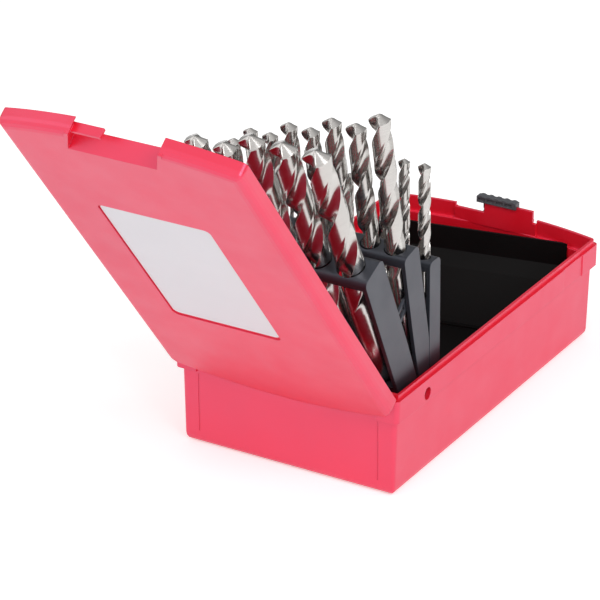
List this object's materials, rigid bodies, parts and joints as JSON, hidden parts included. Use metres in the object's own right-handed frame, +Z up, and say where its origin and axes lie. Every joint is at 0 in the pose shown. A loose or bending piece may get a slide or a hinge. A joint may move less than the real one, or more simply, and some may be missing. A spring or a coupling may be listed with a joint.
{
  "type": "drill bit case",
  "caption": "Hinged plastic case for twist drills, with a bowed front, a sliding latch and linked racks that raise the drills as the lid opens.",
  "frame": {"origin": "middle of the case body's underside, on the surface it stands on", "axes": "+X along the lid's hinge, +Y from the hinge towards the latch, +Z up; the lid is open and the racks are raised"},
  "size_m": [0.1198, 0.3566, 0.2212],
  "materials": {
    "red_plastic": "smooth moulded, satin",
    "black_plastic": "satin",
    "rack_plastic": "satin",
    "latch_plastic": "satin",
    "label_card": "plain, bare",
    "hinge_pin": "drawn wire",
    "drill_steel": "bright ground"
  },
  "bodies": {
    "case": {"base_shell": "red_plastic", "inner_tray": "black_plastic", "hinge_pin_right": "hinge_pin", "hinge_pin_left": "hinge_pin"},
    "lid": {"lid_shell": "red_plastic", "lid_label": "label_card"},
    "latch": {"latch_slider": "latch_plastic"},
    "large_rack": {"rack_large": "rack_plastic"},
    "medium_rack": {"rack_medium": "rack_plastic", "link_large_right": "rack_plastic", "link_large_left": "rack_plastic"},
    "small_rack": {"rack_small": "rack_plastic", "link_medium_right": "rack_plastic", "link_medium_left": "rack_plastic"},
    "drill_13_0": {"drill_13_0": "drill_steel"},
    "drill_12_5": {"drill_12_5": "drill_steel"},
    "drill_12_0": {"drill_12_0": "drill_steel"},
    "drill_11_5": {"drill_11_5": "drill_steel"},
    "drill_11_0": {"drill_11_0": "drill_steel"},
    "drill_10_5": {"drill_10_5": "drill_steel"},
    "drill_10_0": {"drill_10_0": "drill_steel"},
    "drill_9_5": {"drill_9_5": "drill_steel"},
    "drill_9_0": {"drill_9_0": "drill_steel"},
    "drill_8_5": {"drill_8_5": "drill_steel"},
    "drill_8_0": {"drill_8_0": "drill_steel"},
    "drill_7_5": {"drill_7_5": "drill_steel"},
    "drill_7_0": {"drill_7_0": "drill_steel"},
    "drill_6_5": {"drill_6_5": "drill_steel"},
    "drill_6_0": {"drill_6_0": "drill_steel"},
    "drill_5_5": {"drill_5_5": "drill_steel"},
    "drill_5_0": {"drill_5_0": "drill_steel"},
    "drill_4_5": {"drill_4_5": "drill_steel"},
    "drill_4_0": {"drill_4_0": "drill_steel"},
    "drill_3_5": {"drill_3_5": "drill_steel"},
    "drill_3_0": {"drill_3_0": "drill_steel"},
    "drill_2_5": {"drill_2_5": "drill_steel"},
    "drill_2_0": {"drill_2_0": "drill_steel"},
    "drill_1_5": {"drill_1_5": "drill_steel"},
    "drill_1_0": {"drill_1_0": "drill_steel"}
  },
  "joints": [
    {"name": "rack_large_hinge", "type": "hinge", "parent": "case", "child": "large_rack", "pos_m": [0, -0.0752, 0.0434], "axis": [1, 0, 0], "range_deg": [-115.9, 0]},
    {"name": "rack_medium_hinge", "type": "hinge", "parent": "case", "child": "medium_rack", "pos_m": [0, -0.065, 0.034], "axis": [1, 0, 0], "range_deg": [-103.4, 0]},
    {"name": "rack_small_hinge", "type": "hinge", "parent": "case", "child": "small_rack", "pos_m": [0, -0.0556, 0.0186], "axis": [1, 0, 0], "range_deg": [-91.8, 0]},
    {"name": "lid_hinge", "type": "hinge", "parent": "case", "child": "lid", "pos_m": [0, -0.1054, 0.0517], "axis": [1, 0, 0], "range_deg": [-128.5, 0]},
    {"name": "latch_slide", "type": "slide", "parent": "case", "child": "latch", "axis": [1, 0, 0], "range_m": [0, 0.0085]},
    {"name": "drill_13_0_pull", "type": "slide", "parent": "large_rack", "child": "drill_13_0", "axis": [0, -0.4368, 0.8996], "range_m": [0, 0.0799]},
    {"name": "drill_12_5_pull", "type": "slide", "parent": "large_rack", "child": "drill_12_5", "axis": [0, -0.4368, 0.8996], "range_m": [0, 0.0799]},
    {"name": "drill_12_0_pull", "type": "slide", "parent": "large_rack", "child": "drill_12_0", "axis": [0, -0.4368, 0.8996], "range_m": [0, 0.0799]},
    {"name": "drill_11_5_pull", "type": "slide", "parent": "large_rack", "child": "drill_11_5", "axis": [0, -0.4368, 0.8996], "range_m": [0, 0.0799]},
    {"name": "drill_11_0_pull", "type": "slide", "parent": "large_rack", "child": "drill_11_0", "axis": [0, -0.4368, 0.8996], "range_m": [0, 0.0799]},
    {"name": "drill_10_5_pull", "type": "slide", "parent": "large_rack", "child": "drill_10_5", "axis": [0, -0.4368, 0.8996], "range_m": [0, 0.0799]},
    {"name": "drill_10_0_pull", "type": "slide", "parent": "medium_rack", "child": "drill_10_0", "axis": [0, -0.2317, 0.9728], "range_m": [0, 0.0633]},
    {"name": "drill_9_5_pull", "type": "slide", "parent": "medium_rack", "child": "drill_9_5", "axis": [0, -0.2317, 0.9728], "range_m": [0, 0.0633]},
    {"name": "drill_9_0_pull", "type": "slide", "parent": "medium_rack", "child": "drill_9_0", "axis": [0, -0.2317, 0.9728], "range_m": [0, 0.0633]},
    {"name": "drill_8_5_pull", "type": "slide", "parent": "medium_rack", "child": "drill_8_5", "axis": [0, -0.2317, 0.9728], "range_m": [0, 0.0633]},
    {"name": "drill_8_0_pull", "type": "slide", "parent": "medium_rack", "child": "drill_8_0", "axis": [0, -0.2317, 0.9728], "range_m": [0, 0.0633]},
    {"name": "drill_7_5_pull", "type": "slide", "parent": "medium_rack", "child": "drill_7_5", "axis": [0, -0.2317, 0.9728], "range_m": [0, 0.0633]},
    {"name": "drill_7_0_pull", "type": "slide", "parent": "medium_rack", "child": "drill_7_0", "axis": [0, -0.2317, 0.9728], "range_m": [0, 0.0633]},
    {"name": "drill_6_5_pull", "type": "slide", "parent": "medium_rack", "child": "drill_6_5", "axis": [0, -0.2317, 0.9728], "range_m": [0, 0.0633]},
    {"name": "drill_6_0_pull", "type": "slide", "parent": "small_rack", "child": "drill_6_0", "axis": [0, -0.0314, 0.9995], "range_m": [0, 0.0498]},
    {"name": "drill_5_5_pull", "type": "slide", "parent": "small_rack", "child": "drill_5_5", "axis": [0, -0.0314, 0.9995], "range_m": [0, 0.0498]},
    {"name": "drill_5_0_pull", "type": "slide", "parent": "small_rack", "child": "drill_5_0", "axis": [0, -0.0314, 0.9995], "range_m": [0, 0.0498]},
    {"name": "drill_4_5_pull", "type": "slide", "parent": "small_rack", "child": "drill_4_5", "axis": [0, -0.0314, 0.9995], "range_m": [0, 0.048]},
    {"name": "drill_4_0_pull", "type": "slide", "parent": "small_rack", "child": "drill_4_0", "axis": [0, -0.0314, 0.9995], "range_m": [0, 0.0452]},
    {"name": "drill_3_5_pull", "type": "slide", "parent": "small_rack", "child": "drill_3_5", "axis": [0, -0.0314, 0.9995], "range_m": [0, 0.0425]},
    {"name": "drill_3_0_pull", "type": "slide", "parent": "small_rack", "child": "drill_3_0", "axis": [0, -0.0314, 0.9995], "range_m": [0, 0.0376]},
    {"name": "drill_2_5_pull", "type": "slide", "parent": "small_rack", "child": "drill_2_5", "axis": [0, -0.0314, 0.9995], "range_m": [0, 0.0353]},
    {"name": "drill_2_0_pull", "type": "slide", "parent": "small_rack", "child": "drill_2_0", "axis": [0, -0.0314, 0.9995], "range_m": [0, 0.031]},
    {"name": "drill_1_5_pull", "type": "slide", "parent": "small_rack", "child": "drill_1_5", "axis": [0, -0.0314, 0.9995], "range_m": [0, 0.026]},
    {"name": "drill_1_0_pull", "type": "slide", "parent": "small_rack", "child": "drill_1_0", "axis": [0, -0.0314, 0.9995], "range_m": [0, 0.0227]}
  ],
  "couplings": [
    {"joint": "rack_medium_hinge", "follows": "rack_large_hinge", "ratio": 0.89214},
    {"joint": "rack_small_hinge", "follows": "rack_large_hinge", "ratio": 0.79206},
    {"joint": "lid_hinge", "follows": "rack_large_hinge", "ratio": 1.1087}
  ]
}
